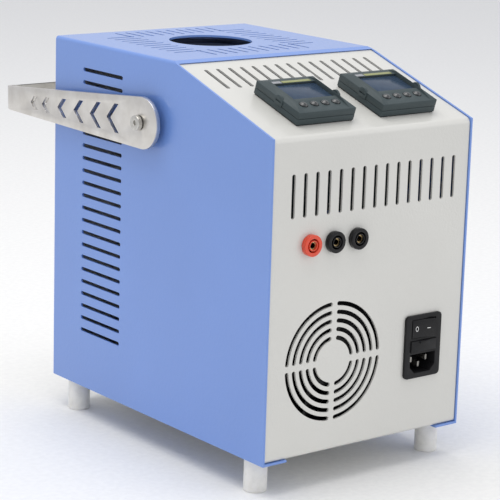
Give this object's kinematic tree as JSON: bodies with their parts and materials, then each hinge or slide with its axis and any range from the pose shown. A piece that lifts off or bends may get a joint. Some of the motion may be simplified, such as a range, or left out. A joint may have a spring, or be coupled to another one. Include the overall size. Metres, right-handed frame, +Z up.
{
  "type": "dry block heater",
  "caption": "Bench dry block heater: bent-sheet case on feet, swinging carry handle, plug-in temperature controllers, test sockets, fan, mains inlet and lift-out well insert under a round hole.",
  "frame": {"origin": "on the bench, midway between the four feet", "axes": "+X to the right of someone facing the front, +Y from the front to the back, +Z up"},
  "size_m": [0.1972, 0.324, 0.277],
  "materials": {
    "blue_sheet": "satin powder coat",
    "white_sheet": "satin powder coat",
    "steel": "satin stainless",
    "screw_steel": "bright",
    "nylon": "milky nylon",
    "slate_plastic": "fine matt",
    "black_plastic": "matt",
    "gloss_black": "gloss",
    "red_plastic": "satin",
    "display": "glossy window",
    "circuit": "lacquered board",
    "rubber": "matt",
    "brass": "bright",
    "alloy": "machined",
    "lagging": "ceramic fibre",
    "mica": "dark insulating board",
    "copper": "enamelled windings",
    "phenolic": "moulded",
    "pale_plastic": "moulded"
  },
  "bodies": {
    "case": {"cover": "blue_sheet", "front_panel": "white_sheet", "base_tray": "white_sheet", "rear_panel": "white_sheet", "rear_panel_screws": "screw_steel", "feet": "nylon", "foot_screws": "screw_steel", "handle_screws": "screw_steel", "handle_bushings": "black_plastic", "handle_washers": "screw_steel", "handle_nuts": "screw_steel", "left_gasket": "rubber", "left_sleeve": "slate_plastic", "left_clip": "black_plastic", "right_gasket": "rubber", "right_sleeve": "slate_plastic", "right_clip": "black_plastic", "socket_red": "red_plastic", "sockets_black": "black_plastic", "socket_contacts": "brass", "socket_nuts": "screw_steel", "fan_frame": "black_plastic", "fan_stator": "copper", "fan_studs": "screw_steel", "fan_nuts": "screw_steel", "inlet_housing": "black_plastic", "inlet_pins": "screw_steel", "heating_block": "alloy", "cartridge_heaters": "steel", "temperature_probes": "steel", "block_lagging": "lagging", "base_lagging": "lagging", "well_collar": "mica", "core_can": "steel", "can_standoffs": "brass", "thermal_cutout": "phenolic", "heat_sink": "alloy", "solid_state_relay": "black_plastic", "relay_screws": "screw_steel", "terminal_block": "pale_plastic"},
    "handle": {"handle_bail": "steel"},
    "rocker": {"rocker": "gloss_black"},
    "fan_rotor": {"fan_rotor": "black_plastic"},
    "fuse_drawer": {"fuse_drawer": "black_plastic", "fuses": "screw_steel"},
    "insert": {"insert_block": "alloy"},
    "left_controller": {"left_module": "circuit", "left_bezel": "slate_plastic", "left_display": "display"},
    "left_button_1": {"left_button_1": "gloss_black"},
    "left_button_2": {"left_button_2": "gloss_black"},
    "left_button_3": {"left_button_3": "gloss_black"},
    "left_button_4": {"left_button_4": "gloss_black"},
    "right_controller": {"right_module": "circuit", "right_bezel": "slate_plastic", "right_display": "display"},
    "right_button_1": {"right_button_1": "gloss_black"},
    "right_button_2": {"right_button_2": "gloss_black"},
    "right_button_3": {"right_button_3": "gloss_black"},
    "right_button_4": {"right_button_4": "gloss_black"}
  },
  "joints": [
    {"name": "handle_swing", "type": "hinge", "parent": "case", "child": "handle", "pos_m": [0, 0.0099, 0.2318], "axis": [1, 0, 0], "range_deg": [-40, 215]},
    {"name": "rocker_tilt", "type": "hinge", "parent": "case", "child": "rocker", "pos_m": [0.05, -0.1229, 0.09835], "axis": [0, 0, 1], "range_deg": [0, 16]},
    {"name": "fan_spin", "type": "hinge", "parent": "case", "child": "fan_rotor", "pos_m": [-0.0295, -0.1122, 0.0865], "axis": [0, 1, 0], "continuous": true},
    {"name": "fuse_drawer_slide", "type": "slide", "parent": "case", "child": "fuse_drawer", "axis": [0, -1, 0], "range_m": [0, 0.02]},
    {"name": "insert_lift", "type": "slide", "parent": "case", "child": "insert", "axis": [0, 0, 1], "range_m": [0, 0.135]},
    {"name": "left_controller_withdraw", "type": "slide", "parent": "case", "child": "left_controller", "axis": [0, -0.311, 0.9504], "range_m": [0, 0.06]},
    {"name": "right_controller_withdraw", "type": "slide", "parent": "case", "child": "right_controller", "axis": [0, -0.311, 0.9504], "range_m": [0, 0.06]},
    {"name": "left_button_1_press", "type": "slide", "parent": "left_controller", "child": "left_button_1", "axis": [0, 0.311, -0.9504], "range_m": [0, 0.0006], "stiffness_N_per_m": 1500},
    {"name": "left_button_2_press", "type": "slide", "parent": "left_controller", "child": "left_button_2", "axis": [0, 0.311, -0.9504], "range_m": [0, 0.0006], "stiffness_N_per_m": 1500},
    {"name": "left_button_3_press", "type": "slide", "parent": "left_controller", "child": "left_button_3", "axis": [0, 0.311, -0.9504], "range_m": [0, 0.0006], "stiffness_N_per_m": 1500},
    {"name": "left_button_4_press", "type": "slide", "parent": "left_controller", "child": "left_button_4", "axis": [0, 0.311, -0.9504], "range_m": [0, 0.0006], "stiffness_N_per_m": 1500},
    {"name": "right_button_1_press", "type": "slide", "parent": "right_controller", "child": "right_button_1", "axis": [0, 0.311, -0.9504], "range_m": [0, 0.0006], "stiffness_N_per_m": 1500},
    {"name": "right_button_2_press", "type": "slide", "parent": "right_controller", "child": "right_button_2", "axis": [0, 0.311, -0.9504], "range_m": [0, 0.0006], "stiffness_N_per_m": 1500},
    {"name": "right_button_3_press", "type": "slide", "parent": "right_controller", "child": "right_button_3", "axis": [0, 0.311, -0.9504], "range_m": [0, 0.0006], "stiffness_N_per_m": 1500},
    {"name": "right_button_4_press", "type": "slide", "parent": "right_controller", "child": "right_button_4", "axis": [0, 0.311, -0.9504], "range_m": [0, 0.0006], "stiffness_N_per_m": 1500}
  ]
}
